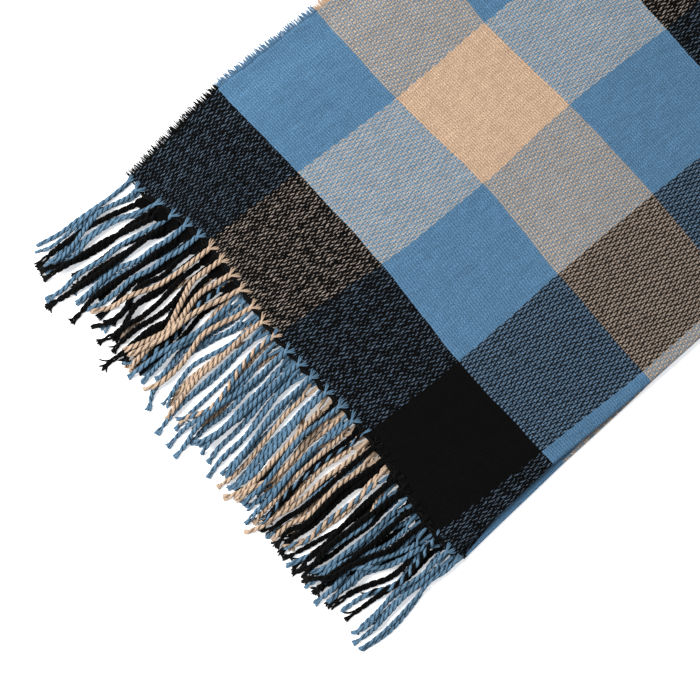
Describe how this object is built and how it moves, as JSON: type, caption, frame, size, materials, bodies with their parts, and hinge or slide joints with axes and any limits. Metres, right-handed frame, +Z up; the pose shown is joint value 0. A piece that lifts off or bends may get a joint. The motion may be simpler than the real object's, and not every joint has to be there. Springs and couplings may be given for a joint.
{
  "type": "blanket scarf",
  "caption": "Woven blanket scarf in a large blue, tan and black check, folded in four and laid flat, with twisted fringe at its ends.",
  "frame": {"origin": "under the middle of the folded scarf and its fringe, on the surface it lies on", "axes": "+X along the scarf from its fringed ends to the crosswise fold, +Y across it from the lengthwise fold to the open frayed side, +Z up"},
  "size_m": [0.9932, 0.383, 0.0074],
  "materials": {
    "woven_check": "soft brushed wool-like weave, matte, in a check of blue, tan and black",
    "frayed_weft": "matte cut weft ends",
    "blue_yarn": "matte twisted yarn",
    "tan_yarn": "matte twisted yarn",
    "black_yarn": "matte twisted yarn"
  },
  "bodies": {
    "root": {"top_layer": "woven_check", "hidden_layers": "woven_check", "frayed_side_top": "frayed_weft", "frayed_side_bottom": "frayed_weft", "fringe_top_1": "blue_yarn", "fringe_top_2": "tan_yarn", "fringe_top_3": "blue_yarn", "fringe_top_4": "black_yarn", "fringe_top_5": "blue_yarn", "fringe_bottom_1": "blue_yarn", "fringe_bottom_2": "tan_yarn", "fringe_bottom_3": "blue_yarn", "fringe_bottom_4": "black_yarn", "fringe_bottom_5": "blue_yarn"}
  },
  "joints": []
}
